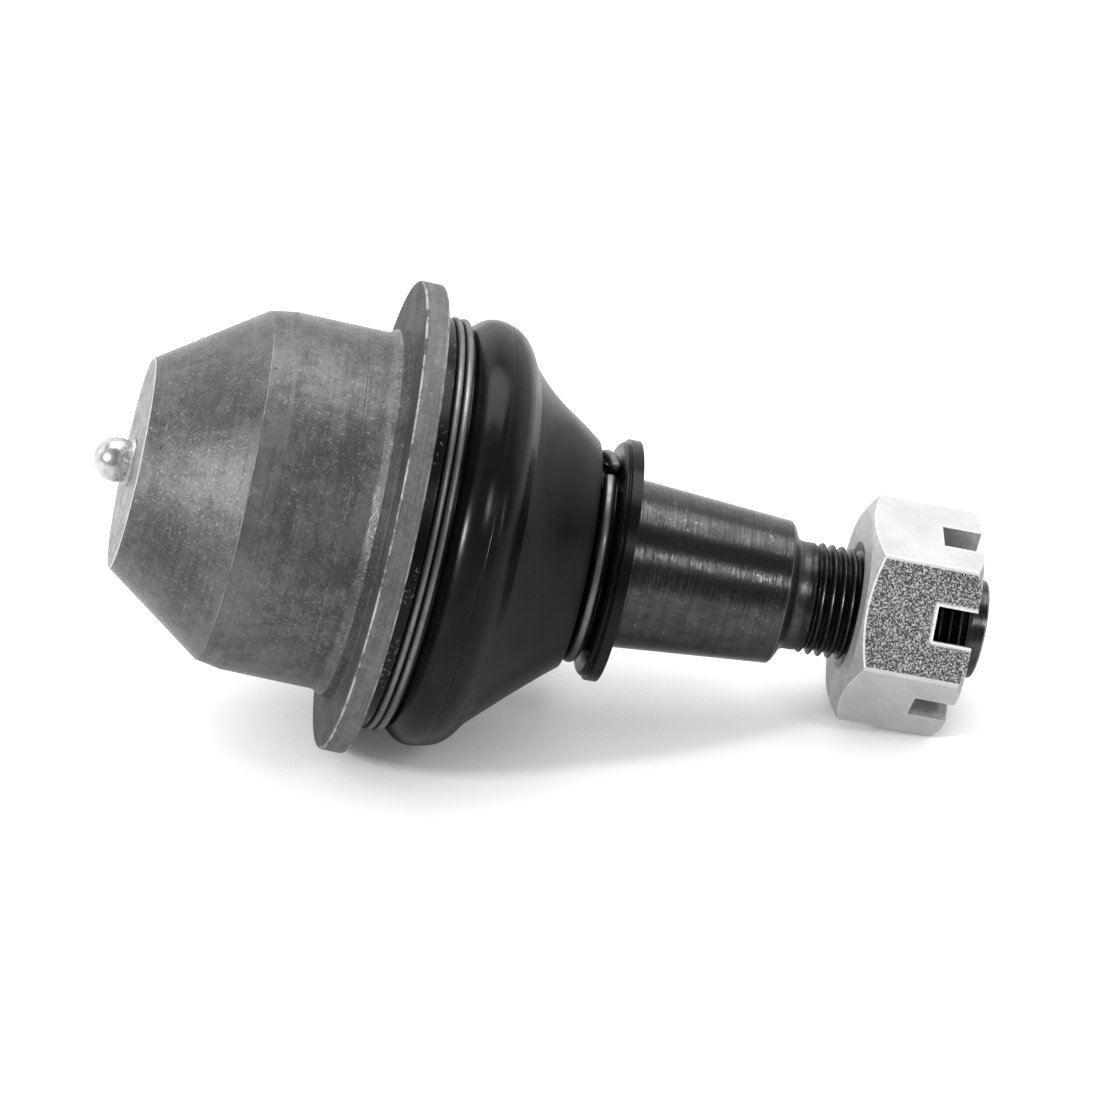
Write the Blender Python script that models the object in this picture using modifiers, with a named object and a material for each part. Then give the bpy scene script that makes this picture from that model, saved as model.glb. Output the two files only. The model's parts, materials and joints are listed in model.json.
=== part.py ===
"""Greaseable ball joint with a tapered stud, dust boot and castle nut, lying as it rests on a floor at Z = 0.

The housing's axis and the stud's axis cross at the ball's centre. Both point towards the nut, which is +X.
Each axis has an empty at the ball's centre whose local +Z runs along it and whose local +X points down.
Housing heights are measured from the ball's centre along the housing's axis, stud heights along the stud's.
"""

from math import asin, atan2, cos, degrees, pi, radians, sin, sqrt, tan

import bmesh
import bpy

MM = 0.001
NAME = "ball_joint"

# Segments round a full turn.
ROUND_LARGE = 40
ROUND_SMALL = 32
ROUND_TINY = 16

# How the joint lies: the housing's axis dips towards the nut.
HOUSING_DIP = radians(15.05)

# Clearances.
GAP = 0.3 * MM

# Ball stud, along the stud's axis.
BALL_R = 17.0 * MM
STUD_NECK_R = 9.0 * MM
STUD_FLARE_START = 23.5 * MM
BOOT_SEAT_R = 11.4 * MM
BOOT_SEAT_START = 28.2 * MM
BOOT_SEAT_END = 32.6 * MM
TAPER_START = 33.1 * MM
TAPER_START_R = 12.2 * MM
TAPER_END = 58.1 * MM
TAPER_END_R = 10.2 * MM
RELIEF_R = 7.75 * MM
THREAD_START = 62.8 * MM
THREAD_R = 7.94 * MM
STUD_END = 86.7 * MM
STUD_END_R = 6.9 * MM
STUD_END_CHAMFER = 1.0 * MM
PIN_HOLE_AT = 73.5 * MM
PIN_HOLE_R = 1.7 * MM

# Castle nut, along the stud's axis.
NUT_START = 68.0 * MM
NUT_HEIGHT = 15.8 * MM
NUT_ACROSS_FLATS = 28.0 * MM
NUT_BORE_R = THREAD_R + GAP
NUT_BORE_MOUTH_R = 8.9 * MM
NUT_SEAT_R = 13.6 * MM
NUT_CROWN_R = 14.95 * MM
SLOT_WIDTH = 4.96 * MM
SLOT_DEPTH = 5.6 * MM

# Housing, along its own axis.
END_FACE_AT = -35.2 * MM
END_FACE_R = 15.5 * MM
CONE_TOP_AT = -20.65 * MM
CONE_TOP_R = 25.0 * MM
PRESS_START = -17.0 * MM
PRESS_R = 25.5 * MM
FLANGE_BACK = -1.2 * MM
FLANGE_FRONT = 2.17 * MM
FLANGE_R = 33.5 * MM
FLANGE_EDGE = 0.35 * MM
BOSS_R = 26.2 * MM
BOSS_END = 7.6 * MM
NOSE_R = 24.0 * MM
NOSE_END = 15.2 * MM
CAVITY_R = 20.5 * MM
CAVITY_FLOOR = -23.2 * MM
POCKET_R = 8.0 * MM
POCKET_FLOOR = -26.8 * MM
GROOVE_R = 21.7 * MM
GROOVE_START = 12.4 * MM
GROOVE_END = 14.0 * MM

# Bearing stack inside the cavity.
LINER_R = CAVITY_R - GAP
SOCKET_R = BALL_R + GAP
CUP_BACK = -18.9 * MM
CUP_HOLE_R = 3.4 * MM
CUP_SPLIT = 0.15 * MM
SEAT_END = 9.8 * MM
SPRING_THICKNESS = 0.8 * MM
SPRING_RISE = 0.3 * MM
SPRING_HOLE_R = 9.6 * MM
SPRING_RIM_R = 18.8 * MM
WASHER_THICKNESS = 0.9 * MM
CLOSER_END = 12.3 * MM
CLOSER_HOLE_R = 15.2 * MM
SNAP_RING_HOLE_R = 18.9 * MM
SNAP_RING_GAP = 5.0 * MM

# Grease fitting in the end face.
FITTING_R = 3.0 * MM
FITTING_HEAD_AT = -37.4 * MM
FITTING_COLLAR_R = 3.7 * MM
FITTING_NECK_R = 2.5 * MM
FITTING_END = -27.2 * MM
FITTING_BORE_R = 1.25 * MM
FITTING_MOUTH_R = 0.6 * MM
CHECK_BALL_R = 0.9 * MM
CHECK_BALL_AT = -38.35 * MM
CHECK_WIRE_R = 0.16 * MM
CHECK_SPRING_TURNS = 6

# Dust boot, along the housing's axis until it takes up the stud's.
BOOT_WALL = 1.6 * MM
CUFF_START = FLANGE_FRONT + GAP
CUFF_HOLE_R = BOSS_R + GAP
CUFF_BEAD_R = 29.3 * MM
CUFF_WAIST_R = 28.2 * MM
CREST_R = 30.4 * MM
SEAM_R = 30.05 * MM
SEAM_AT = 13.6 * MM
SHOULDER_R = 16.05 * MM
SHOULDER_AT = 28.5 * MM
LIP_R = 17.0 * MM
LIP_START = 32.0 * MM
LIP_END = 34.4 * MM
BEND_START = 14.0 * MM
BEND_END = 27.0 * MM

# Boot rings.
CLAMP_WIRE_R = 0.5 * MM
CLAMP_PITCH = 1.27 * MM
CLAMP_START = 4.85 * MM
CLAMP_TURNS = 1.8
CLAMP_FIRST = radians(108)
CLAMP_R = CUFF_WAIST_R + GAP + CLAMP_WIRE_R
NECK_WIRE_R = 0.85 * MM
NECK_RING_R = 14.25 * MM
NECK_RING_AT = 30.5 * MM
NECK_RING_STEP = 0.5 * MM
NECK_RING_FIRST = radians(186)
NECK_RING_TURN = 348 / 360
NECK_GROOVE_R = NECK_RING_R - NECK_WIRE_R - GAP

# The lower corner of the nut's crown and the flange's rim touch the floor.
FLANGE_CONTACT_AT = FLANGE_FRONT - FLANGE_EDGE
BALL_Z = FLANGE_CONTACT_AT * sin(HOUSING_DIP) + FLANGE_R * cos(HOUSING_DIP)
NUT_END = NUT_START + NUT_HEIGHT
NUT_FLAT = NUT_ACROSS_FLATS / 2
STUD_DIP = asin(BALL_Z / sqrt(NUT_END**2 + NUT_FLAT**2)) - atan2(NUT_FLAT, NUT_END)

# The model is centred in X between the fitting's tip and the stud's end.
FITTING_REACH = -FITTING_HEAD_AT * cos(HOUSING_DIP) + FITTING_R
STUD_REACH = STUD_END * cos(STUD_DIP) + STUD_END_R * sin(STUD_DIP)
BALL_X = (FITTING_REACH - STUD_REACH) / 2


def clear_scene():
    for item in list(bpy.data.objects):
        bpy.data.objects.remove(item, do_unlink=True)


def make_collection(name):
    collection = bpy.data.collections.new(name)
    bpy.context.scene.collection.children.link(collection)
    return collection


def make_material(name, colour, metallic, roughness):
    material = bpy.data.materials.new(name)
    material.use_nodes = True
    shader = material.node_tree.nodes["Principled BSDF"]
    shader.inputs["Base Color"].default_value = (*colour, 1)
    shader.inputs["Metallic"].default_value = metallic
    shader.inputs["Roughness"].default_value = roughness
    return material


def make_axis(name, dip):
    """An empty at the ball's centre, its local +Z along an axis that dips towards the nut."""
    empty = bpy.data.objects.new(name, None)
    empty.location = (BALL_X, 0, BALL_Z)
    empty.rotation_euler = (0, pi / 2 + dip, 0)
    PARTS.objects.link(empty)
    return empty


def place(name, data, axis, material=None):
    item = bpy.data.objects.new(name, data)
    item.parent = axis
    PARTS.objects.link(item)
    if material:
        data.materials.append(material)
    return item


def arc(centre_r, centre_z, radius, start, end, count):
    """Points on an arc in the profile plane, its angles in degrees from outward, positive towards the nut."""
    step = (end - start) / (count - 1)
    angles = [radians(start + step * i) for i in range(count)]
    return [(centre_r + radius * cos(a), centre_z + radius * sin(a)) for a in angles]


def turn(name, points, axis, material, steps, closed=True):
    """A profile of (radius, height) points, running down its outer side, turned about the axis."""
    mesh = bpy.data.meshes.new(name)
    edges = [(i, i + 1) for i in range(len(points) - 1)]
    if closed:
        edges.append((len(points) - 1, 0))
    mesh.from_pydata([(r, 0, z) for r, z in points], edges, [])
    item = place(name, mesh, axis, material)
    screw = item.modifiers.new("Turn", "SCREW")
    screw.axis = "Z"
    screw.steps = steps
    screw.render_steps = steps
    screw.use_merge_vertices = True
    screw.merge_threshold = 0.00001
    return item


def boolean(item, cutter, operation="DIFFERENCE"):
    cut = item.modifiers.new(cutter.name, "BOOLEAN")
    cut.operation = operation
    cut.solver = "EXACT"
    cut.object = cutter


def as_cutter(item):
    for collection in list(item.users_collection):
        collection.objects.unlink(item)
    CUTTERS.objects.link(item)
    item.hide_render = True
    item.display_type = "WIRE"
    return item


def box_cutter(name, axis, size, centre, turned=0.0):
    mesh = bpy.data.meshes.new(name)
    form = bmesh.new()
    bmesh.ops.create_cube(form, size=1)
    bmesh.ops.scale(form, vec=size, verts=form.verts)
    form.to_mesh(mesh)
    form.free()
    item = place(name, mesh, axis)
    item.location = centre
    item.rotation_euler = (0, 0, turned)
    return as_cutter(item)


def wire(name, points, radius, axis, material, sides=2):
    """A round wire along a list of points, with filled ends."""
    curve = bpy.data.curves.new(name, "CURVE")
    curve.dimensions = "3D"
    curve.bevel_depth = radius
    curve.bevel_resolution = sides
    curve.use_fill_caps = True
    spline = curve.splines.new("POLY")
    spline.points.add(len(points) - 1)
    for point, place_at in zip(spline.points, points):
        point.co = (*place_at, 1)
    return place(name, curve, axis, material)


def coil(radius, start, end, first_angle, turns, per_turn):
    count = int(round(turns * per_turn)) + 1
    points = []
    for i in range(count):
        share = i / (count - 1)
        angle = first_angle + 2 * pi * turns * share
        points.append((radius * cos(angle), radius * sin(angle), start + (end - start) * share))
    return points


def make_housing():
    points = [
        (CAVITY_R + 0.6 * MM, NOSE_END),
        (NOSE_R - 0.6 * MM, NOSE_END),
        (NOSE_R, NOSE_END - 0.6 * MM),
        (NOSE_R, BOSS_END + 0.8 * MM),
        (BOSS_R, BOSS_END),
        (BOSS_R, FLANGE_FRONT),
        (FLANGE_R - FLANGE_EDGE, FLANGE_FRONT),
        (FLANGE_R, FLANGE_CONTACT_AT),
        (FLANGE_R, FLANGE_BACK + FLANGE_EDGE),
        (FLANGE_R - FLANGE_EDGE, FLANGE_BACK),
        (PRESS_R + 0.5 * MM, FLANGE_BACK),
        (PRESS_R, FLANGE_BACK - 0.5 * MM),
        (PRESS_R, PRESS_START),
        (CONE_TOP_R, CONE_TOP_AT),
        (END_FACE_R + 0.2 * MM, END_FACE_AT + 0.3 * MM),
        (END_FACE_R - 0.2 * MM, END_FACE_AT),
        (FITTING_R + GAP, END_FACE_AT),
        (FITTING_R + GAP, POCKET_FLOOR),
        (POCKET_R - 1.5 * MM, POCKET_FLOOR),
        (POCKET_R, POCKET_FLOOR + 1.5 * MM),
        (POCKET_R, CAVITY_FLOOR),
        (CAVITY_R - 1.2 * MM, CAVITY_FLOOR),
        (CAVITY_R, CAVITY_FLOOR + 1.2 * MM),
        (CAVITY_R, GROOVE_START),
        (GROOVE_R, GROOVE_START),
        (GROOVE_R, GROOVE_END),
        (CAVITY_R, GROOVE_END),
        (CAVITY_R, NOSE_END - 0.6 * MM),
    ]
    return turn("housing", points, HOUSING, STEEL_DARK, ROUND_LARGE)


def make_bearing_cup():
    pole = sqrt(SOCKET_R**2 - CUP_HOLE_R**2)
    first = -asin(CUP_SPLIT / SOCKET_R)
    last = -asin(pole / SOCKET_R)
    span = [first + (last - first) * i / 8 for i in range(9)]
    bowl = [(SOCKET_R * cos(a), SOCKET_R * sin(a)) for a in reversed(span)]
    outer = [
        (LINER_R, -CUP_SPLIT),
        (LINER_R, CUP_BACK + 1.5 * MM),
        (LINER_R - 1.5 * MM, CUP_BACK),
        (CUP_HOLE_R, CUP_BACK),
    ]
    return turn("bearing_cup", outer + bowl, HOUSING, BEARING, ROUND_SMALL)


def make_bearing_ring():
    first = asin(CUP_SPLIT / SOCKET_R)
    last = asin(SEAT_END / SOCKET_R)
    span = [first + (last - first) * i / 4 for i in range(5)]
    bowl = [(SOCKET_R * cos(a), SOCKET_R * sin(a)) for a in span]
    outer = [(LINER_R, SEAT_END), (LINER_R, CUP_SPLIT)]
    return turn("bearing_ring", outer + bowl, HOUSING, BEARING, ROUND_SMALL)


def make_disc_spring(name, low, rim_lift, hole_lift):
    """A conical washer: its rim and its hole's edge stand above low by their lifts."""
    rim = low + rim_lift
    hole = low + hole_lift
    points = [
        (SPRING_RIM_R, rim + SPRING_THICKNESS),
        (SPRING_RIM_R, rim),
        (SPRING_HOLE_R, hole),
        (SPRING_HOLE_R, hole + SPRING_THICKNESS),
    ]
    return turn(name, points, HOUSING, STEEL_SPRING, ROUND_SMALL)


def make_preload_stack():
    """Two disc springs rim to rim and a thrust washer, between the cavity's floor and the bearing cup."""
    low = CAVITY_FLOOR + GAP
    make_disc_spring("disc_spring_outer", low, SPRING_RISE, 0)
    low += SPRING_THICKNESS + SPRING_RISE + GAP
    make_disc_spring("disc_spring_inner", low, 0, SPRING_RISE)
    low += SPRING_THICKNESS + SPRING_RISE + GAP
    points = [
        (SPRING_RIM_R, low + WASHER_THICKNESS),
        (SPRING_RIM_R, low),
        (SPRING_HOLE_R, low),
        (SPRING_HOLE_R, low + WASHER_THICKNESS),
    ]
    turn("thrust_washer", points, HOUSING, STEEL_SPRING, ROUND_SMALL)


def make_closing_ring():
    points = [
        (LINER_R, CLOSER_END),
        (LINER_R, SEAT_END + GAP),
        (CLOSER_HOLE_R, SEAT_END + GAP),
        (CLOSER_HOLE_R, CLOSER_END - 0.6 * MM),
        (CLOSER_HOLE_R + 0.6 * MM, CLOSER_END),
    ]
    return turn("closing_ring", points, HOUSING, STEEL_DARK, ROUND_SMALL)


def make_snap_ring():
    points = [
        (GROOVE_R - GAP, GROOVE_END - GAP),
        (GROOVE_R - GAP, CLOSER_END + GAP + 0.1 * MM),
        (SNAP_RING_HOLE_R, CLOSER_END + GAP + 0.1 * MM),
        (SNAP_RING_HOLE_R, GROOVE_END - GAP),
    ]
    ring = turn("snap_ring", points, HOUSING, STEEL_SPRING, ROUND_SMALL)
    size = (6 * MM, SNAP_RING_GAP, 4 * MM)
    centre = (-GROOVE_R, 0, GROOVE_START + 1 * MM)
    boolean(ring, box_cutter("snap_ring_gap", HOUSING, size, centre))
    return ring


def make_grease_fitting():
    head = arc(0, FITTING_HEAD_AT, FITTING_R, 50, -78, 10)
    collar_back = END_FACE_AT - GAP
    body = [
        (FITTING_BORE_R + 0.5 * MM, FITTING_END),
        (FITTING_R - 0.4 * MM, FITTING_END),
        (FITTING_R, FITTING_END - 0.4 * MM),
        (FITTING_R, collar_back),
        (FITTING_COLLAR_R, collar_back),
        (FITTING_COLLAR_R, collar_back - 0.4 * MM),
        (FITTING_NECK_R, collar_back - 0.5 * MM),
    ]
    mouth = FITTING_HEAD_AT - sqrt(FITTING_R**2 - FITTING_MOUTH_R**2)
    seat = CHECK_BALL_AT - 0.6 * MM
    bore = [
        (FITTING_MOUTH_R, mouth),
        (FITTING_MOUTH_R, seat - 0.75 * MM),
        (FITTING_BORE_R, seat),
        (FITTING_BORE_R, FITTING_END - 0.9 * MM),
        (FITTING_MOUTH_R, FITTING_END - 0.6 * MM),
        (FITTING_MOUTH_R, FITTING_END),
    ]
    head = [point for point in head if point[1] < collar_back - 0.7 * MM]
    turn("grease_fitting_body", body + head + bore, HOUSING, STEEL_BRIGHT, ROUND_TINY)

    ball = arc(0, CHECK_BALL_AT, CHECK_BALL_R, 90, -90, 9)
    ball[0] = (0, ball[0][1])
    ball[-1] = (0, ball[-1][1])
    turn("grease_check_ball", ball, HOUSING, STEEL_BRIGHT, 16, closed=False)

    low = CHECK_BALL_AT + CHECK_BALL_R + GAP + CHECK_WIRE_R
    high = FITTING_END - 0.9 * MM - GAP - CHECK_WIRE_R
    radius = FITTING_BORE_R - GAP - CHECK_WIRE_R
    points = coil(radius, low, high, 0, CHECK_SPRING_TURNS, 8)
    wire("grease_check_spring", points, CHECK_WIRE_R, HOUSING, STEEL_SPRING, 1)


def make_ball_stud():
    shoulder_deg = 90 - degrees(asin(STUD_NECK_R / BALL_R))
    ball = arc(0, 0, BALL_R, shoulder_deg, -84, 16)
    points = [
        (0, STUD_END),
        (STUD_END_R, STUD_END),
        (THREAD_R, STUD_END - STUD_END_CHAMFER),
        (THREAD_R, THREAD_START + 0.5 * MM),
        (RELIEF_R, THREAD_START),
        (RELIEF_R, TAPER_END + 1.2 * MM),
        (RELIEF_R + 0.35 * MM, TAPER_END + 0.35 * MM),
        (TAPER_END_R - 0.5 * MM, TAPER_END),
        (TAPER_END_R, TAPER_END - 0.5 * MM),
        (TAPER_START_R, TAPER_START),
        (BOOT_SEAT_R + 0.2 * MM, BOOT_SEAT_END),
        (BOOT_SEAT_R, BOOT_SEAT_END - 0.3 * MM),
        (BOOT_SEAT_R, BOOT_SEAT_START),
        (STUD_NECK_R + 0.8 * MM, STUD_FLARE_START + 1.2 * MM),
        (STUD_NECK_R, STUD_FLARE_START - 1.5 * MM),
        (STUD_NECK_R, ball[0][1] + 0.8 * MM),
        (STUD_NECK_R + 0.12 * MM, ball[0][1] + 0.25 * MM),
    ]
    ball = [(r, z) for r, z in ball if r > STUD_NECK_R + 0.13 * MM or z < 0]
    points += ball + [(0, ball[-1][1])]
    stud = turn("ball_stud", points, STUD, STEEL_STUD, ROUND_LARGE, closed=False)

    mesh = bpy.data.meshes.new("pin_hole")
    form = bmesh.new()
    bmesh.ops.create_cone(
        form, cap_ends=True, segments=16, radius1=PIN_HOLE_R, radius2=PIN_HOLE_R, depth=3 * THREAD_R
    )
    form.to_mesh(mesh)
    form.free()
    drill = place("pin_hole", mesh, STUD)
    drill.location = (0, 0, PIN_HOLE_AT)
    drill.rotation_euler = (pi / 2, 0, pi / 6)
    boolean(stud, as_cutter(drill))
    return stud


def make_castle_nut():
    mesh = bpy.data.meshes.new("castle_nut")
    form = bmesh.new()
    corner_r = NUT_FLAT / cos(pi / 6)
    bmesh.ops.create_cone(
        form, cap_ends=True, segments=6, radius1=corner_r, radius2=corner_r, depth=NUT_HEIGHT
    )
    bmesh.ops.translate(form, vec=(0, 0, NUT_START + NUT_HEIGHT / 2), verts=form.verts)
    form.to_mesh(mesh)
    form.free()
    nut = place("castle_nut", mesh, STUD, ZINC)

    past_r = corner_r + 0.4 * MM
    mouth = NUT_BORE_MOUTH_R - NUT_BORE_R
    envelope = [
        (NUT_CROWN_R, NUT_END),
        (past_r, NUT_END - (past_r - NUT_CROWN_R) * tan(radians(35))),
        (past_r, NUT_START + (past_r - NUT_SEAT_R) * tan(radians(30))),
        (NUT_SEAT_R, NUT_START),
        (NUT_BORE_MOUTH_R, NUT_START),
        (NUT_BORE_R, NUT_START + mouth),
        (NUT_BORE_R, NUT_END - mouth),
        (NUT_BORE_MOUTH_R, NUT_END),
    ]
    boolean(nut, as_cutter(turn("nut_envelope", envelope, STUD, None, 48)), "INTERSECT")
    for i in range(3):
        size = (4 * NUT_FLAT, SLOT_WIDTH, 2 * SLOT_DEPTH)
        slot = box_cutter(f"nut_slot_{i}", STUD, size, (0, 0, NUT_END), i * pi / 3)
        boolean(nut, slot)
    return nut


def boot_outer():
    """The boot's outside from its lip down to its cuff."""
    lip = [
        (LIP_R - 0.7 * MM, LIP_END),
        (LIP_R, LIP_END - 0.7 * MM),
        (LIP_R, LIP_START + 0.9 * MM),
        (LIP_R - 1.1 * MM, LIP_START),
    ]
    groove = [
        (NECK_GROOVE_R, LIP_START - 0.7 * MM),
        (NECK_GROOVE_R, NECK_RING_AT - NECK_RING_STEP / 2 - NECK_WIRE_R - 0.1 * MM),
        (NECK_GROOVE_R, SHOULDER_AT + 0.2 * MM),
        (SHOULDER_R - 0.3 * MM, SHOULDER_AT + 0.1 * MM),
    ]
    bell = [
        (SHOULDER_R, SHOULDER_AT - 0.2 * MM),
        (16.85 * MM, 27.75 * MM),
        (19.05 * MM, 25.7 * MM),
        (21.4 * MM, 22.8 * MM),
        (23.8 * MM, 20.0 * MM),
        (25.6 * MM, 17.65 * MM),
        (27.7 * MM, 15.5 * MM),
        (29.0 * MM, 14.5 * MM),
    ]
    crest = [
        (SEAM_R, SEAM_AT),
        (CREST_R, 12.1 * MM),
        (CREST_R, 10.0 * MM),
        (29.9 * MM, 8.6 * MM),
        (28.9 * MM, 7.5 * MM),
    ]
    cuff = [
        (CUFF_WAIST_R, 7.1 * MM),
        (CUFF_WAIST_R, 4.2 * MM),
        (CUFF_BEAD_R, 3.8 * MM),
        (CUFF_BEAD_R, CUFF_START),
    ]
    return lip + groove + bell + crest + cuff


def boot_inner():
    """The boot's inside from its cuff back up to its lip."""
    return [
        (CUFF_HOLE_R, CUFF_START),
        (CUFF_HOLE_R, 7.5 * MM),
        (28.2 * MM, 9.2 * MM),
        (CREST_R - BOOT_WALL, 11.2 * MM),
        (27.8 * MM, 13.4 * MM),
        (25.3 * MM, 15.8 * MM),
        (22.3 * MM, 19.4 * MM),
        (17.6 * MM, 25.0 * MM),
        (15.4 * MM, 27.0 * MM),
        (BOOT_SEAT_R + GAP + 0.6 * MM, 28.0 * MM),
        (BOOT_SEAT_R + GAP, 28.6 * MM),
        (BOOT_SEAT_R + GAP, BOOT_SEAT_END - GAP - 0.6 * MM),
        (TAPER_START_R + GAP, BOOT_SEAT_END - 0.1 * MM),
        (TAPER_START_R + GAP, LIP_END),
    ]


def smooth_share(value, start, end):
    share = min(max((value - start) / (end - start), 0), 1)
    return share * share * (3 - 2 * share)


def make_dust_boot():
    """The boot is turned about the housing's axis, and a hook leans its neck over to the stud's."""
    points = boot_outer() + boot_inner()
    boot = turn("dust_boot", points, HOUSING, RUBBER, ROUND_LARGE)
    neck = boot.vertex_groups.new(name="neck")
    for index, (_, height) in enumerate(points):
        neck.add([index], smooth_share(height, BEND_START, BEND_END), "REPLACE")
    lean = boot.modifiers.new("Lean", "HOOK")
    lean.object = STUD
    lean.vertex_group = "neck"
    lean.falloff_type = "NONE"
    lean.matrix_inverse.identity()
    return boot


def make_boot_rings():
    """The clamp ring's two flat turns are joined by a short step, which faces away from its ends."""
    flat = coil(CLAMP_R, 0, 1, CLAMP_FIRST, CLAMP_TURNS, ROUND_SMALL)
    steps = [smooth_share(share, 0.45, 0.55) for _, _, share in flat]
    points = [(x, y, CLAMP_START + CLAMP_PITCH * step) for (x, y, _), step in zip(flat, steps)]
    wire("boot_clamp_ring", points, CLAMP_WIRE_R, HOUSING, STEEL_BRIGHT, 1)

    low = NECK_RING_AT - NECK_RING_STEP / 2
    points = coil(
        NECK_RING_R, low, low + NECK_RING_STEP, NECK_RING_FIRST, NECK_RING_TURN, ROUND_SMALL
    )
    wire("boot_neck_ring", points, NECK_WIRE_R, STUD, STEEL_RING)


clear_scene()
PARTS = make_collection(NAME)
CUTTERS = make_collection(NAME + "_cutters")
CUTTERS.hide_render = True

STEEL_DARK = make_material("phosphated_steel", (0.14, 0.145, 0.15), 1.0, 0.38)
STEEL_STUD = make_material("burnished_steel", (0.16, 0.16, 0.165), 1.0, 0.33)
STEEL_BRIGHT = make_material("bright_steel", (0.62, 0.62, 0.60), 1.0, 0.28)
STEEL_SPRING = make_material("spring_steel", (0.25, 0.25, 0.26), 1.0, 0.35)
STEEL_RING = make_material("black_wire", (0.05, 0.05, 0.055), 0.9, 0.22)
BEARING = make_material("sintered_bearing", (0.30, 0.27, 0.23), 0.8, 0.55)
RUBBER = make_material("black_rubber", (0.012, 0.012, 0.013), 0.0, 0.42)
ZINC = make_material("zinc_plate", (0.66, 0.68, 0.69), 1.0, 0.30)

HOUSING = make_axis("housing_axis", HOUSING_DIP)
STUD = make_axis("stud_axis", STUD_DIP)
bpy.context.view_layer.update()

make_housing()
make_bearing_cup()
make_bearing_ring()
make_preload_stack()
make_closing_ring()
make_snap_ring()
make_grease_fitting()
make_ball_stud()
make_dust_boot()
make_boot_rings()
make_castle_nut()
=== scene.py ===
"""The looks of a ball joint with a dust boot, a grease fitting and a castle nut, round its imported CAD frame.

Sizes are in mm, and are multiplied by MM where a mesh is made. Lights, the camera's distance, scales of
noise and distances of bump are in Blender's metres."""

import json
from math import atan2, ceil, cos, hypot, pi, radians, sin, sqrt, tan

import bmesh
import bpy
import numpy as np
from mathutils import Matrix, Vector


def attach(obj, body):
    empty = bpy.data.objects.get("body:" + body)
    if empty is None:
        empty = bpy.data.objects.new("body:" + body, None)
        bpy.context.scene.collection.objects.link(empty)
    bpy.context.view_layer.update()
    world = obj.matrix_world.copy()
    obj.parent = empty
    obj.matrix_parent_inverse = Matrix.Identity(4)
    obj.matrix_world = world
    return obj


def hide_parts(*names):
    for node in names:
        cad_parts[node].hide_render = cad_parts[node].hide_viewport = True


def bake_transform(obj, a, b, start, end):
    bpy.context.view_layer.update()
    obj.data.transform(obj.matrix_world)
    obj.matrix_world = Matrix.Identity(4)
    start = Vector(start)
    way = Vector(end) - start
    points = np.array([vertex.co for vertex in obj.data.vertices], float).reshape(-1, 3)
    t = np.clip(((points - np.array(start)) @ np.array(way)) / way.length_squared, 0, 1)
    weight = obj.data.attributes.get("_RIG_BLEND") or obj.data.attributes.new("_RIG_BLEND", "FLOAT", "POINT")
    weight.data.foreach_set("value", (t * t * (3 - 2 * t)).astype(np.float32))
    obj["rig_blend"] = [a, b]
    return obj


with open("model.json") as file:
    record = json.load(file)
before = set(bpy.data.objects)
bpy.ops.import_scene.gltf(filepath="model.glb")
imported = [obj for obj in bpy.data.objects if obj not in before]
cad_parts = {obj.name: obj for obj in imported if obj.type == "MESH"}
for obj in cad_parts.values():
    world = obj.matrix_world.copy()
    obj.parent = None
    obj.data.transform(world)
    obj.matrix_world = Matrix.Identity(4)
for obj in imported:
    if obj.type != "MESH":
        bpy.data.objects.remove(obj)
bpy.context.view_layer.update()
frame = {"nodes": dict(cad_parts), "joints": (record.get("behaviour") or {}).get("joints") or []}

MM = 0.001
TURN = 2 * pi

# Where the two axes run, from the record. Heights along them start at the ball's centre and rise to the nut.
JOINTS = {joint["name"]: joint for joint in frame["joints"]}
BALL_CENTRE = Vector(JOINTS["stud_tilt"]["pos_m"])
HOUSING_AXIS = Vector(JOINTS["swing_plane"]["axis"]).normalized()
STUD_AXIS = Vector(JOINTS["stud_spin"]["axis"]).normalized()

# Segments round a full turn.
FINE = 192
MEDIUM = 96

# Outlines: the step of a rounded corner's arc, the rounding below which a corner is an edge that wears
# bright, how long a straight run must be to get points near its ends, and how near.
ARC_STEP = radians(11)
WORN_ROUNDING = 0.45
LONG_RUN = 0.8
RUN_INSET = 0.1

# Points nearer than this (in metres) are one point.
WELD = 1e-7
THREAD_WELD = 2e-7

# The stud's thread, 5/8-18 UNF, and the relief and tip at its two ends.
THREAD_R = 7.94
THREAD_PITCH = 1.411
THREAD_DEPTH = 0.82
THREAD_START = 60.7
THREAD_END = 84.5
RUNOUT_TURNS = 1.6
RELIEF_R = 7.7
TIP_R = 7.02
TIP_SLOPE = 1.1
STUD_END = 86.7
BALL_R = 17

# The castle nut: half its width across flats, its seat's and crown's edge circles, its slots, the bevel of its
# long edges, and its bore, which is cut a little past both ends.
NUT_START = 68.0
NUT_END = 83.8
NUT_FLAT = 14.0
SEAT_R = 13.6
SEAT_SLOPE = tan(radians(30))
CROWN_R = 14.95
CROWN_SLOPE = 0.75
SLOT_WIDTH = 4.96
SLOT_DEPTH = 5.6
SLOT_FLOOR = NUT_END - SLOT_DEPTH
EDGE_BREAK = 0.3
BORE_R = 8.3
BORE_THREAD = 0.3
BORE_OVERRUN = 0.4
MOUTH_R = 9.5
MOUTH_SLOPE = 0.9

# The cosine past which a face counts as facing a direction.
FACING = 0.985

# The housing's flat end, the grease fitting's head on it, and the boot's bend and its sag.
END_FACE = -35.2
HEAD_R = 3.15
HEAD_CENTRE = -37.3
BOOT_BEND = (14.0, 27.0)
BOOT_SAG = 0.6


# ---------------------------------------------------------------- placing


def axis_matrix(direction):
    """A frame at the ball's centre whose Z runs along an axis and whose X points down."""
    across = Vector((0, 1, 0))
    down = across.cross(direction)
    matrix = Matrix((down, across, direction)).transposed().to_4x4()
    matrix.translation = BALL_CENTRE
    return matrix


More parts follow.
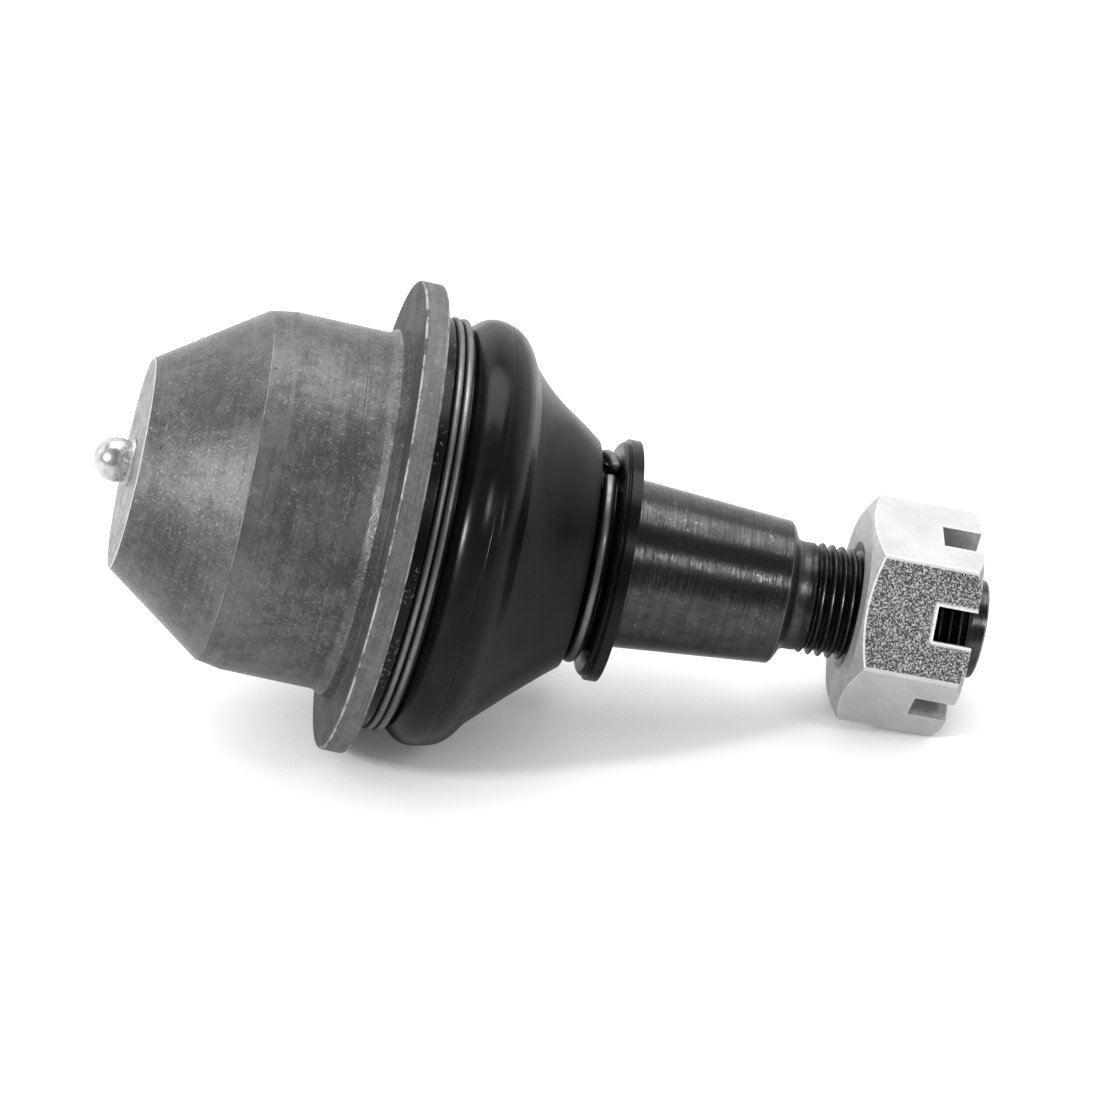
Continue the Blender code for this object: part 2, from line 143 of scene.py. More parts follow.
HOUSING = axis_matrix(HOUSING_AXIS)
STUD = axis_matrix(STUD_AXIS)


def smooth(value, start, end):
    """0 before start and 1 past end, with an S-shaped rise between them."""
    share = min(max((value - start) / (end - start), 0), 1)
    return share * share * (3 - 2 * share)


def add_object(name, data, place):
    item = bpy.data.objects.new(name, data)
    bpy.context.scene.collection.objects.link(item)
    item.matrix_world = place
    return item


def shade(mesh, sharp_degrees=32):
    mesh.polygons.foreach_set("use_smooth", [True] * len(mesh.polygons))
    mesh.set_sharp_from_angle(angle=radians(sharp_degrees))


def apply_modifiers(item):
    graph = bpy.context.evaluated_depsgraph_get()
    mesh = bpy.data.meshes.new_from_object(item.evaluated_get(graph))
    item.modifiers.clear()
    item.data = mesh


def finish_piece(item, body, nodes, materials):
    """Gives a piece its materials and slot, puts it in its CAD nodes' place, and rides it on its body."""
    for material in materials:
        item.data.materials.append(material)
    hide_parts(*nodes)
    if body:
        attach(item, body)
    return item


# ---------------------------------------------------------------- outlines and turned meshes


def round_corner(before, corner, after, radius):
    """Points of an arc of that radius that takes the place of a corner between two straight runs."""
    ends = [(p[0] - corner[0], p[1] - corner[1]) for p in (before, after)]
    lengths = [hypot(*end) for end in ends]
    units = [(e[0] / n, e[1] / n) for e, n in zip(ends, lengths)]
    cosine = min(max(units[0][0] * units[1][0] + units[0][1] * units[1][1], -1), 1)
    half = atan2(sqrt(1 - cosine), sqrt(1 + cosine))
    reach = min(radius / tan(half), 0.49 * min(lengths))
    radius = reach * tan(half)
    middle = (units[0][0] + units[1][0], units[0][1] + units[1][1])
    length = hypot(*middle)
    away = radius / sin(half)
    centre = (corner[0] + middle[0] / length * away, corner[1] + middle[1] / length * away)
    starts = [(corner[0] + u[0] * reach - centre[0], corner[1] + u[1] * reach - centre[1]) for u in units]
    first = atan2(starts[0][1], starts[0][0])
    sweep = atan2(starts[1][1], starts[1][0]) - first
    sweep = (sweep + pi) % TURN - pi
    count = max(3, ceil(abs(sweep) / ARC_STEP))
    angles = [first + sweep * i / count for i in range(count + 1)]
    return [(centre[0] + radius * cos(a), centre[1] + radius * sin(a)) for a in angles]


def outline(corners, closed=True):
    """Turns corners (radius from the axis, height, rounding, zone) into points (r, z, zone, edge).

    zone is the material of the strip that starts at the point. edge is 1 on a rounded outside corner."""
    points = []
    count = len(corners)
    for i, (r, z, rounding, zone) in enumerate(corners):
        inner = closed or 0 < i < count - 1
        if not rounding or not inner:
            points.append((r, z, zone, 0))
            continue
        before = corners[i - 1]
        after = corners[(i + 1) % count]
        turn = (r - before[0]) * (after[1] - z) - (z - before[1]) * (after[0] - r)
        arc = round_corner(before[:2], (r, z), after[:2], rounding)
        for j, (arc_r, arc_z) in enumerate(arc):
            crest = sin(pi * j / (len(arc) - 1))
            points.append((arc_r, arc_z, zone, crest if turn < 0 and rounding < WORN_ROUNDING else 0))
    return points


def supported(points, closed=True):
    """The outline with points added near the ends of long straight runs, which hold smooth shading there."""
    result = []
    last = len(points) if closed else len(points) - 1
    for i, point in enumerate(points):
        result.append(point)
        after = points[(i + 1) % len(points)]
        length = hypot(after[0] - point[0], after[1] - point[1])
        if i >= last or length < LONG_RUN:
            continue
        for share in (RUN_INSET / length, 1 - RUN_INSET / length):
            place = [a + (b - a) * share for a, b in zip(point[:2], after[:2])]
            result.append((*place, point[2], 0))
    return result


def curve_through(knots, count):
    """Points on a smooth curve through a few knots, for a soft outline."""
    knots = [(2 * knots[0][0] - knots[1][0], 2 * knots[0][1] - knots[1][1])] + knots
    knots = knots + [(2 * knots[-1][0] - knots[-2][0], 2 * knots[-1][1] - knots[-2][1])]
    points = []
    for i in range(1, len(knots) - 2):
        a, b, c, d = (np.array(knots[i + k]) for k in (-1, 0, 1, 2))
        for j in range(count):
            t = j / count
            point = b + t * (c - a) / 2 + t * t * (a - 2.5 * b + 2 * c - d / 2)
            point = point + t**3 * (1.5 * (b - c) + (d - a) / 2)
            points.append(tuple(point))
    points.append(knots[-2])
    return points


def weld(form, distance):
    """Joins points that meet, drops the faces that this flattens, and turns the rest to face out."""
    bmesh.ops.remove_doubles(form, verts=form.verts, dist=distance)
    bmesh.ops.dissolve_degenerate(form, dist=WELD, edges=form.edges)
    bmesh.ops.recalc_face_normals(form, faces=form.faces)


def as_mesh(name, form):
    """Turns the working form into a mesh and frees it."""
    mesh = bpy.data.meshes.new(name)
    form.to_mesh(mesh)
    form.free()
    return mesh


def lathe_mesh(name, points, segments=FINE, closed=True):
    """A mesh turned about Z from outline points that run down the outside, with its edges marked as wear."""
    form = bmesh.new()
    wear = form.verts.layers.float.new("wear")
    rows = []
    points = supported(points, closed)
    for r, z, _, edge in points:
        row = []
        for k in range(segments):
            angle = TURN * k / segments
            vert = form.verts.new((r * MM * cos(angle), r * MM * sin(angle), z * MM))
            vert[wear] = edge
            row.append(vert)
        rows.append(row)
    last = len(rows) if closed else len(rows) - 1
    for i in range(last):
        upper, lower = rows[i], rows[(i + 1) % len(rows)]
        for k in range(segments):
            n = (k + 1) % segments
            face = form.faces.new((upper[k], lower[k], lower[n], upper[n]))
            face.material_index = points[i][2]
    weld(form, WELD)
    return as_mesh(name, form)


def turned(name, points, place, segments=FINE):
    mesh = lathe_mesh(name, points, segments)
    shade(mesh)
    return add_object(name, mesh, place)


def wire_path(name, path, radius, place, sides=16, blunt=0.25):
    """A round wire swept along a path in mm, with rounded-off ends, as a closed mesh."""
    path = [Vector(point) for point in path]
    form = bmesh.new()
    rings = []
    last = len(path) - 1
    tangents = [(path[min(i + 1, last)] - path[max(i - 1, 0)]).normalized() for i in range(last + 1)]
    stations = [(0, -blunt, 1 - blunt / radius)] + [(i, 0, 1) for i in range(last + 1)]
    stations.append((last, blunt, 1 - blunt / radius))
    for i, ahead, share in stations:
        tangent = tangents[i]
        outward = Vector((path[i].x, path[i].y, 0)).normalized()
        side = tangent.cross(outward).normalized()
        outward = side.cross(tangent)
        centre = path[i] + tangent * ahead
        ring = []
        for k in range(sides):
            angle = TURN * k / sides
            offset = outward * cos(angle) + side * sin(angle)
            ring.append(form.verts.new((centre + offset * radius * share) * MM))
        rings.append(ring)
    for a, b in zip(rings, rings[1:]):
        for k in range(sides):
            n = (k + 1) % sides
            form.faces.new((a[k], a[n], b[n], b[k]))
    form.faces.new(rings[0][::-1])
    form.faces.new(rings[-1])
    bmesh.ops.recalc_face_normals(form, faces=form.faces)
    mesh = as_mesh(name, form)
    shade(mesh, 50)
    return add_object(name, mesh, place)


# ---------------------------------------------------------------- materials


def grey(value, warmth=0.0):
    return (value * (1 + warmth), value, value * (1 - warmth), 1)


class Surface:
    """A procedural material: a Principled BSDF, and short calls that add nodes in the object's own space."""

    def __init__(self, name, metallic, roughness):
        self.material = bpy.data.materials.new(name)
        self.material.use_nodes = True
        self.tree = self.material.node_tree
        self.shader = self.tree.nodes["Principled BSDF"]
        self.shader.inputs["Metallic"].default_value = metallic
        self.shader.inputs["Roughness"].default_value = roughness
        self.shader.inputs["Base Color"].default_value = grey(0.5)
        self.place = self.node("ShaderNodeTexCoord").outputs["Object"]

    def node(self, kind, **inputs):
        node = self.tree.nodes.new(kind)
        for name, value in inputs.items():
            self.feed(node.inputs[name], value)
        return node

    def feed(self, socket, value):
        if isinstance(value, bpy.types.NodeSocket):
            self.tree.links.new(value, socket)
        else:
            socket.default_value = value

    def math(self, operation, *values):
        node = self.tree.nodes.new("ShaderNodeMath")
        node.operation = operation
        for socket, value in zip(node.inputs, values):
            self.feed(socket, value)
        return node.outputs[0]

    def stretched(self, across, along):
        """The place scaled across and along the axis, so that noise runs in rings or in lines."""
        node = self.node("ShaderNodeMapping", Vector=self.place)
        node.inputs["Scale"].default_value = (across, across, along)
        return node.outputs[0]

    def noise(self, scale, detail=3.0, roughness=0.55, place=None, distortion=0.0):
        node = self.node("ShaderNodeTexNoise", Vector=place or self.place, Scale=scale, Detail=detail)
        node.inputs["Roughness"].default_value = roughness
        node.inputs["Distortion"].default_value = distortion
        return node.outputs["Fac"]

    def cells(self, scale):
        node = self.node("ShaderNodeTexVoronoi", Vector=self.place, Scale=scale)
        return node.outputs["Distance"]

    def remap(self, value, low, high, new_low=0.0, new_high=1.0):
        node = self.node("ShaderNodeMapRange", Value=value)
        node.interpolation_type = "SMOOTHSTEP"
        ends = {"From Min": low, "From Max": high, "To Min": new_low, "To Max": new_high}
        for name, number in ends.items():
            self.feed(node.inputs[name], number)
        return node.outputs[0]

    def mix(self, share, first, second):
        node = self.tree.nodes.new("ShaderNodeMix")
        node.data_type = "RGBA"
        sockets = [s for s in node.inputs if s.type == "RGBA"]
        self.feed(node.inputs[0], share)
        for socket, value in zip(sockets, (first, second)):
            self.feed(socket, grey(value) if isinstance(value, float) else value)
        return next(s for s in node.outputs if s.type == "RGBA")

    def attribute(self, name):
        node = self.tree.nodes.new("ShaderNodeAttribute")
        node.attribute_name = name
        return node.outputs["Fac"]

    def bump(self, height, strength, distance):
        node = self.node("ShaderNodeBump", Height=height, Strength=strength)
        node.inputs["Distance"].default_value = distance
        return node.outputs[0]

    def finish(self, colour=None, roughness=None, normal=None):
        for name, value in (("Base Color", colour), ("Roughness", roughness), ("Normal", normal)):
            if value is not None:
                self.feed(self.shader.inputs[name], value)
        return self.material


def oiled_steel(name, dark, light, roughness, speck=0.4, lines=0.25):
    """Phosphated steel under a film of oil: softly clouded, grainy where it catches light, with faint marks.

    dark and light are the greys of its clouds, speck is that of its scratches, and lines is how much its
    turning marks show."""
    s = Surface(name, 0.55, roughness)
    clouds = s.noise(85, 4, 0.62, distortion=0.5)
    stain = s.noise(430, 6, 0.8, distortion=0.5)
    grain = s.noise(2300, 4, 0.8)
    rings = s.noise(1.0, 3, 0.7, s.stretched(40, 1500))
    tone = s.math("MULTIPLY_ADD", clouds, 0.4, s.math("MULTIPLY", stain, 0.6))
    tone = s.math("MULTIPLY_ADD", s.math("SUBTRACT", rings, 0.5), lines, tone)
    colour = s.mix(s.remap(tone, 0.4, 0.6), dark, light)
    glints = s.remap(grain, 0.55, 0.68)
    colour = s.mix(s.math("MULTIPLY", glints, 0.4), colour, speck)
    scratch = s.remap(s.noise(1.0, 2, 0.5, s.stretched(130, 3600)), 0.68, 0.76)
    scratch = s.math("MULTIPLY", scratch, s.remap(s.noise(160, 2, 0.5), 0.5, 0.62))
    colour = s.mix(s.math("MULTIPLY", scratch, 0.6), colour, speck)
    dots = s.remap(s.noise(600, 1, 0.4), 0.22, 0.17)
    colour = s.mix(s.math("MULTIPLY", dots, 0.7), colour, dark * 0.4)
    patchy = s.remap(s.noise(260, 4, 0.75), 0.4, 0.6, 0.05, 1.0)
    colour = s.mix(s.math("MULTIPLY", s.attribute("wear"), patchy), colour, 0.42)
    rough = s.remap(tone, 0.3, 0.7, roughness + 0.05, roughness - 0.06)
    rough = s.math("MULTIPLY_ADD", glints, -0.06, rough)
    height = s.math("MULTIPLY_ADD", grain, 1.0, s.math("MULTIPLY", rings, 0.2))
    height = s.math("MULTIPLY_ADD", stain, 1.4, height)
    return s.finish(colour, rough, s.bump(height, 0.9, 0.0001))


def mottled_steel(name, dark, light, roughness):
    """A bright machined face with a mottled, slightly stained skin."""
    s = Surface(name, 1.0, roughness)
    mottle = s.noise(620, 5, 0.72, distortion=0.6)
    blot = s.noise(170, 3, 0.6)
    tone = s.math("MULTIPLY_ADD", mottle, 0.7, s.math("MULTIPLY", blot, 0.3))
    colour = s.mix(s.remap(tone, 0.34, 0.64), dark, light)
    worn = s.math("MULTIPLY", s.attribute("wear"), 0.9)
    colour = s.mix(worn, colour, 0.85)
    rough = s.remap(mottle, 0.3, 0.7, roughness + 0.12, roughness - 0.08)
    return s.finish(colour, rough, s.bump(s.noise(2600, 4, 0.7), 0.5, 0.00005))


def burnished_steel(name, dark, light, roughness, cut):
    """A ground shank: fine turning marks as deep as cut draw a light out along it, over a mottled dark film."""
    s = Surface(name, 1.0, roughness)
    fine = s.noise(1.0, 2, 0.6, s.stretched(45, 6500))
    rings = s.noise(1.0, 3, 0.7, s.stretched(60, 1800))
    patches = s.noise(1.0, 5, 0.75, s.stretched(520, 300), 0.2)
    tone = s.math("MULTIPLY_ADD", rings, 0.4, s.math("MULTIPLY", patches, 0.6))
    colour = s.mix(s.remap(tone, 0.36, 0.64), dark, light)
    flecks = s.remap(s.noise(1.0, 3, 0.75, s.stretched(1500, 2600)), 0.57, 0.7)
    bare = s.math("MULTIPLY", flecks, s.remap(patches, 0.45, 0.62))
    colour = s.mix(s.math("MULTIPLY", bare, 0.4), colour, 0.4)
    colour = s.mix(s.math("MULTIPLY", s.attribute("wear"), 0.55), colour, 0.5)
    rough = s.remap(tone, 0.3, 0.7, roughness + 0.07, roughness - 0.06)
    height = s.math("MULTIPLY_ADD", rings, 0.8, fine)
    return s.finish(colour, rough, s.bump(height, 0.8, cut))


def black_thread(name):
    """A cut thread under the same dark film, worn a little brighter along its crests."""
    s = Surface(name, 1.0, 0.32)
    stain = s.noise(700, 4, 0.7)
    worn = s.math("MULTIPLY", s.attribute("wear"), s.remap(stain, 0.35, 0.62, 0.15, 0.9))
    colour = s.mix(s.remap(stain, 0.3, 0.7), 0.022, 0.045)
    colour = s.mix(s.math("MULTIPLY", worn, 0.4), colour, 0.09)
    rough = s.remap(stain, 0.3, 0.7, 0.42, 0.26)
    return s.finish(colour, rough, s.bump(s.noise(4200, 3), 0.3, 0.00003))


def flat_edges(s):
    """How near a point of one of the nut's flats is to its edges, where a bright line is painted as a
    highlight: corners, seat chamfer and slot.
    """
    x, y, z = s.node("ShaderNodeSeparateXYZ", Vector=s.place).outputs
    square = s.math("ADD", s.math("MULTIPLY", x, x), s.math("MULTIPLY", y, y))
    across = s.math("SQRT", s.math("MAXIMUM", s.math("SUBTRACT", square, (NUT_FLAT * MM) ** 2), 0.0))
    corner = NUT_FLAT * tan(pi / 6)
    side = s.remap(across, (corner - 0.5) * MM, (corner - 0.25) * MM)
    above_cone = s.math("MULTIPLY_ADD", s.math("SQRT", square), -SEAT_SLOPE, z)
    cone = NUT_START - SEAT_R * SEAT_SLOPE
    seat = s.remap(above_cone, (cone + 0.38) * MM, (cone + 0.16) * MM)
    beside = s.remap(across, (SLOT_WIDTH / 2 + 0.75) * MM, (SLOT_WIDTH / 2 + 0.1) * MM)
    slot = s.math("MULTIPLY", beside, s.remap(z, (SLOT_FLOOR - 0.75) * MM, (SLOT_FLOOR - 0.1) * MM))
    return s.math("MAXIMUM", s.math("MAXIMUM", side, seat), slot)


def zinc(name):
    """Bright zinc plate: coarse orange peel on two flats, smoother elsewhere, and duller on cut faces; the two
    flats carry painted shade in the hollows of the peel and a painted highlight along their edges.
    """
    s = Surface(name, 1.0, 0.2)
    grain = s.attribute("grain")
    cut = s.attribute("cut")
    peel = s.noise(4000, 2, 0.55, distortion=0.6)
    pits = s.noise(7000, 2, 0.6)
    film = s.noise(150, 4, 0.65)
    skin = s.math("MULTIPLY_ADD", pits, 0.3, s.math("MULTIPLY", peel, 0.7))
    colour = s.mix(s.remap(film, 0.3, 0.7), grey(0.62), grey(0.72))
    # Painted shade: the hollows of the peel on the coarse flats are darkened nearly to black.
    painted_valley_shade = s.math("MULTIPLY", s.remap(skin, 0.6, 0.47), grain)
    # Painted highlight: a bright, broken line along the edges of the coarse flats.
    painted_edge_highlight = s.math("MULTIPLY", flat_edges(s), s.remap(s.noise(1400, 3, 0.6), 0.3, 0.5, 0.55, 1.0))
    smoother = s.math("SUBTRACT", 0.95, s.math("MULTIPLY", painted_edge_highlight, 0.85))
    colour = s.mix(s.math("MULTIPLY", painted_valley_shade, smoother), colour, 0.05)
    colour = s.mix(s.math("MULTIPLY", painted_edge_highlight, grain), colour, 0.95)
    dull = s.math("MULTIPLY", cut, s.remap(s.noise(1300, 4, 0.75), 0.35, 0.65, 0.5, 1.0))
    colour = s.mix(dull, colour, 0.42)
    rough = s.math("MULTIPLY_ADD", cut, 0.1, 0.5)
    strength = s.math("MULTIPLY_ADD", grain, 0.8, 0.1)
    return s.finish(colour, rough, s.bump(skin, strength, 0.00022))


def ring_steel(name, dark, light, roughness):
    """Rolled or drawn steel, faintly streaked and stained."""
    s = Surface(name, 1.0, roughness)
    streaks = s.noise(1.0, 3, 0.6, s.stretched(90, 5200))
    stain = s.noise(420, 4, 0.65)
    tone = s.math("MULTIPLY_ADD", streaks, 0.5, s.math("MULTIPLY", stain, 0.5))
    colour = s.mix(s.remap(tone, 0.32, 0.68), dark, light)
    rough = s.remap(stain, 0.3, 0.7, roughness + 0.1, roughness - 0.05)
    return s.finish(colour, rough, s.bump(streaks, 0.25, 0.00003))


def cast_fitting(name):
    """The fitting's plated skin: smooth on the head, rough where it was staked by the face."""
    s = Surface(name, 1.0, 0.2)
    rough_zone = s.attribute("rough")
    lumps = s.noise(2100, 4, 0.7, distortion=0.5)
    colour = s.mix(s.remap(s.noise(400, 4, 0.7), 0.35, 0.65), 0.5, 0.72)
    colour = s.mix(s.math("MULTIPLY", rough_zone, s.remap(lumps, 0.55, 0.35, 0.0, 0.75)), colour, 0.2)
    rough = s.math("MULTIPLY_ADD", rough_zone, 0.2, 0.24)
    strength = s.math("MULTIPLY_ADD", rough_zone, 0.75, 0.03)
    return s.finish(colour, rough, s.bump(lumps, strength, 0.00012))


def rubber(name):
    """Satin black rubber with a faint bloom, a few specks of dust, and grit round the foot of its cuff."""
    s = Surface(name, 0.0, 0.24)
    s.shader.inputs["Specular IOR Level"].default_value = 0.15
    bloom = s.noise(120, 4, 0.6)
    skin = s.noise(3800, 3, 0.6)
    dust = s.remap(s.noise(1700, 2, 0.5), 0.76, 0.82)
    colour = s.mix(s.remap(bloom, 0.3, 0.7), 0.004, 0.008)
    colour = s.mix(s.math("MULTIPLY", dust, 0.35), colour, 0.16)
    crumbs = s.remap(s.noise(1500, 4, 0.7), 0.56, 0.66)
    gathered = s.remap(s.noise(110, 2, 0.5), 0.5, 0.6)
    soiled = s.math("MULTIPLY", s.attribute("soil"), s.math("MULTIPLY", crumbs, gathered))
    colour = s.mix(s.math("MULTIPLY", soiled, 0.7), colour, 0.35)
    rough = s.remap(bloom, 0.3, 0.7, 0.2, 0.28)
    return s.finish(colour, rough, s.bump(skin, 0.1, 0.00003))


def sintered(name):
    """A warm grey pressed metal, dotted with pores."""
    s = Surface(name, 0.85, 0.5)
    pores = s.remap(s.cells(3600), 0.12, 0.3)
    tone = s.noise(300, 4, 0.6)
    colour = s.mix(s.remap(tone, 0.3, 0.7), grey(0.2, 0.12), grey(0.33, 0.14))
    colour = s.mix(pores, grey(0.07, 0.1), colour)
    return s.finish(colour, s.remap(tone, 0.3, 0.7, 0.58, 0.42), s.bump(pores, 0.3, 0.00004))


# ---------------------------------------------------------------- pieces


def make_housing():
    """Zones: 0 nose and cone, 1 end face, 2 flange rim and front, 3 inside, 4 lead-in, 5 flange back and its
    concave corner into the barrel, darker, with a painted shade in that corner, 6 barrel."""
    corners = [
        (21.1, 15.2, 0, 0),
        (24.0, 15.2, 0.6, 0),
        (24.0, 8.4, 0.3, 0),
        (26.2, 7.6, 0.3, 0),
        (26.2, 2.17, 0.2, 2),
        (33.5, 2.17, 0.4, 2),
        (33.5, -1.2, 0.4, 5),
        (26.6, -1.2, 0.6, 5),
        (26.1, -2.7, 0.9, 6),
        (25.5, -3.9, 1.2, 6),
        (25.5, -7.2, 0, 6),
        (25.46, -7.28, 0, 6),
        (25.5, -7.36, 0, 6),
        (25.5, -17.0, 0.9, 4),
        (24.9, -20.65, 0.22, 0),
        (14.95, END_FACE, 0.25, 1),
        (3.3, END_FACE, 0, 3),
        (3.3, -26.8, 0, 3),
        (6.5, -26.8, 0, 3),
        (8.0, -25.3, 0, 3),
        (8.0, -23.2, 0, 3),
        (19.3, -23.2, 0, 3),
        (20.5, -22.0, 0, 3),
        (20.5, 12.4, 0, 3),
        (21.7, 12.4, 0, 3),
        (21.7, 14.0, 0, 3),
        (20.5, 14.0, 0, 3),
        (20.5, 14.6, 0, 3),
    ]
    item = turned("housing_shell", outline(corners), HOUSING)
    body = oiled_steel("housing_oiled_steel", 0.05, 0.1, 0.2)
    end = mottled_steel("housing_end_face", 0.18, 0.42, 0.42)
    flange = oiled_steel("flange_oiled_steel", 0.1, 0.15, 0.42, 0.35, 0.5)
    inside = oiled_steel("housing_inside", 0.07, 0.11, 0.45)
    lead = oiled_steel("lead_in_oiled_steel", 0.065, 0.12, 0.3, 0.35, 0.4)
    # Darker, duller steel on the flange's back face and in its concave corner into the barrel, where it is a
    # painted shade.
    back = oiled_steel("flange_back_steel_painted_shade", 0.035, 0.07, 0.6, 0.3, 0.4)
    barrel = oiled_steel("barrel_oiled_steel", 0.06, 0.125, 0.2, 0.45)
    materials = [body, end, flange, inside, lead, back, barrel]
    return finish_piece(item, "housing", ["housing"], materials)


def make_grease_fitting():
    head = [
        (HEAD_R * cos(a), HEAD_CENTRE + HEAD_R * sin(a)) for a in np.radians(np.linspace(38, -79, 24))
    ]
    collar = [
        (1.75, -27.2, 0, 0),
        (2.6, -27.2, 0, 0),
        (3.0, -27.6, 0, 0),
        (3.0, END_FACE - 0.05, 0, 0),
        (3.35, END_FACE - 0.06, 0, 0),
        (3.3, END_FACE - 0.45, 0.1, 0),
    ]
    bore = [(0.6, -40.39, 0, 0), (0.6, -39.7, 0, 0), (1.25, -38.95, 0, 0), (1.25, -28.1, 0, 0)]
    bore += [(0.6, -27.8, 0, 0), (0.6, -27.2, 0, 0)]
    points = outline(collar, False) + [(r, z, 0, 0) for r, z in head if z < END_FACE - 0.5]
    points += outline(bore, False)
    item = turned("grease_fitting", points, HOUSING, MEDIUM)
    rough = item.data.attributes.new("rough", "FLOAT", "POINT")
    polished, staked = -37.9, -36.9
    shares = [smooth(v.co.z / MM, polished, staked) for v in item.data.vertices]
    rough.data.foreach_set("value", shares)
    material = cast_fitting("fitting_plate")
    return finish_piece(item, "housing", ["grease_fitting_body"], [material])


def coil_path(radius, turns, start_degrees, height, rise, rise_span):
    """A wire's turns about Z, level except over the share of its length where it rises."""
    path = []
    for i in range(int(turns * FINE) + 1):
        share = i / (turns * FINE)
        angle = radians(start_degrees) + TURN * turns * share
        path.append((radius * cos(angle), radius * sin(angle), height + rise * smooth(share, *rise_span)))
    return path


def make_clamp_ring():
    """Two flat turns, one beside the other, joined by a short step halfway."""
    path = coil_path(29.0, 1.8, 108, 4.85, 1.27, (0.45, 0.55))
    item = wire_path("boot_clamp_spiral", path, 0.56, HOUSING)
    material = ring_steel("clamp_ring_steel", 0.16, 0.24, 0.4)
    return finish_piece(item, "housing", ["boot_clamp_ring"], [material])


def make_neck_ring():
    """A split wire ring whose ends miss each other by a little near the top."""
    path = coil_path(14.25, 0.972, 188, 30.15, 0.85, (0.9, 1.0))
    item = wire_path("boot_neck_wire", path, 0.93, STUD)
    material = ring_steel("neck_wire_steel", 0.12, 0.2, 0.36)
    return finish_piece(item, "neck_frame", ["boot_neck_ring"], [material])


def boot_points():
    """The boot's outline: lip and ring groove, bell, seam, crest and cuff, then back up its inside."""
    lip = [
        (17.2, 34.4, 0.08, 0),
        (17.2, 32.85, 0.12, 0),
        (16.55, 32.75, 0.12, 0),
        (16.75, 32.3, 0.25, 0),
        (16.3, 31.85, 0.3, 0),
        (13.1, 31.7, 0.4, 0),
        (13.1, 29.0, 0.4, 0),
        (16.3, 28.6, 0.35, 0),
    ]
    bell = curve_through([(17.15, 27.5), (19.1, 25.0), (20.9, 22.7), (22.9, 20.4), (24.5, 18.7)], 5)
    shoulder = curve_through(
        [(25.7, 17.5), (26.9, 16.7), (28.1, 15.9), (29.1, 14.9), (29.8, 13.7), (30.12, 12.6)], 4
    )
    seam = [(30.16, 12.48), (30.1, 12.4), (30.16, 12.32)]
    crest = curve_through(
        [(30.25, 12.2), (30.4, 11.3), (30.4, 10.4), (30.2, 9.5), (29.7, 8.6), (28.9, 7.65), (28.4, 7.25)], 4
    )
    cuff = [
        (28.2, 7.05, 0.1, 0),
        (28.2, 4.3, 0.25, 0),
        (29.35, 4.15, 0.3, 0),
        (29.35, 2.5, 0.2, 0),
        (26.5, 2.5, 0, 0),
        (26.5, 7.6, 0.4, 0),
    ]
    knots = [(27.6, 8.6), (28.6, 10.0), (28.7, 11.4), (28.3, 12.8), (27.2, 14.2), (25.4, 15.6)]
    inner = curve_through(knots + [(22.0, 18.6), (17.4, 24.6)], 2)
    neck = [
        (15.4, 27.0, 0.4, 0),
        (12.3, 27.9, 0.3, 0),
        (11.7, 28.5, 0.3, 0),
        (11.7, 31.7, 0.3, 0),
        (12.5, 32.4, 0.2, 0),
        (12.5, 34.4, 0.15, 0),
    ]
    outside = [(r, z, 0, 0) for r, z in bell + shoulder + seam + crest]
    inside = [(r, z, 0, 0) for r, z in inner]
    return outline(lip, False) + outside + outline(cuff, False) + inside + outline(neck, False)


def make_boot():
    """The boot's neck leans from the housing's axis over to the stud's, and bends with it."""
    mesh = lathe_mesh("boot", boot_points())
    soil = mesh.attributes.new("soil", "FLOAT", "POINT")
    clean, soiled = 4.4, 3.9
    soil.data.foreach_set("value", [smooth(v.co.z / MM, clean, soiled) for v in mesh.vertices])
    for vert in mesh.vertices:
        height = vert.co.z / MM
        share = smooth(height, *BOOT_BEND)
        # It sags between the crest and the neck.
        vert.co.x += BOOT_SAG * MM * smooth(height, 12.5, 18) * smooth(height, 28, 20)
        vert.co = (HOUSING @ vert.co).lerp(STUD @ vert.co, share)
    shade(mesh, 40)
    item = add_object("boot", mesh, Matrix.Identity(4))
    finish_piece(item, None, ["dust_boot"], [rubber("boot_rubber")])
    start, end = (HOUSING @ Vector((0, 0, z * MM)) for z in BOOT_BEND)
    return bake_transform(item, "swing_frame", "neck_frame", start, end)


def thread_depth(phase):
    """How deep a thread is at a share of one pitch, from 0 on its flat crest to 1 in its rounded root."""
    away = abs((phase % 1) - 0.5) * 2
    return smooth(1 - away, 0.1, 0.86) * 0.35 + min(max((0.88 - away) / 0.76, 0), 1) * 0.65


def thread_rows(start, end, radius, segments, samples=10):
    """Rows of points (x, y, z, crest) that follow a thread's helix between two heights, clamped to them."""
    count = ceil((end - start) / THREAD_PITCH * samples)
    rows = []
    for k in range(-samples, count + 1):
        depth = thread_depth(k / samples)
        row = []
        for j in range(segments + 1):
            z = start + THREAD_PITCH * (k / samples + j / segments)
            z = min(max(z, start), end)
            r = radius(z, depth)
            angle = TURN * j / segments
            crest = max(0.25 - depth, 0) * 4 * smooth(z, start, start + 3)
            row.append((r * cos(angle), r * sin(angle), z, crest))
        rows.append(row)
    return rows


def add_thread(form, rows, wear, zone):
    """Adds helix rows to a mesh as a strip of quads, outside facing out."""
    grid = []
    for row in rows:
        verts = []
        for x, y, z, crest in row:
            vert = form.verts.new((x * MM, y * MM, z * MM))
            vert[wear] = crest
            verts.append(vert)
        grid.append(verts)
    for low, high in zip(grid, grid[1:]):
        for j in range(len(low) - 1):
            form.faces.new((low[j], low[j + 1], high[j + 1], high[j])).material_index = zone


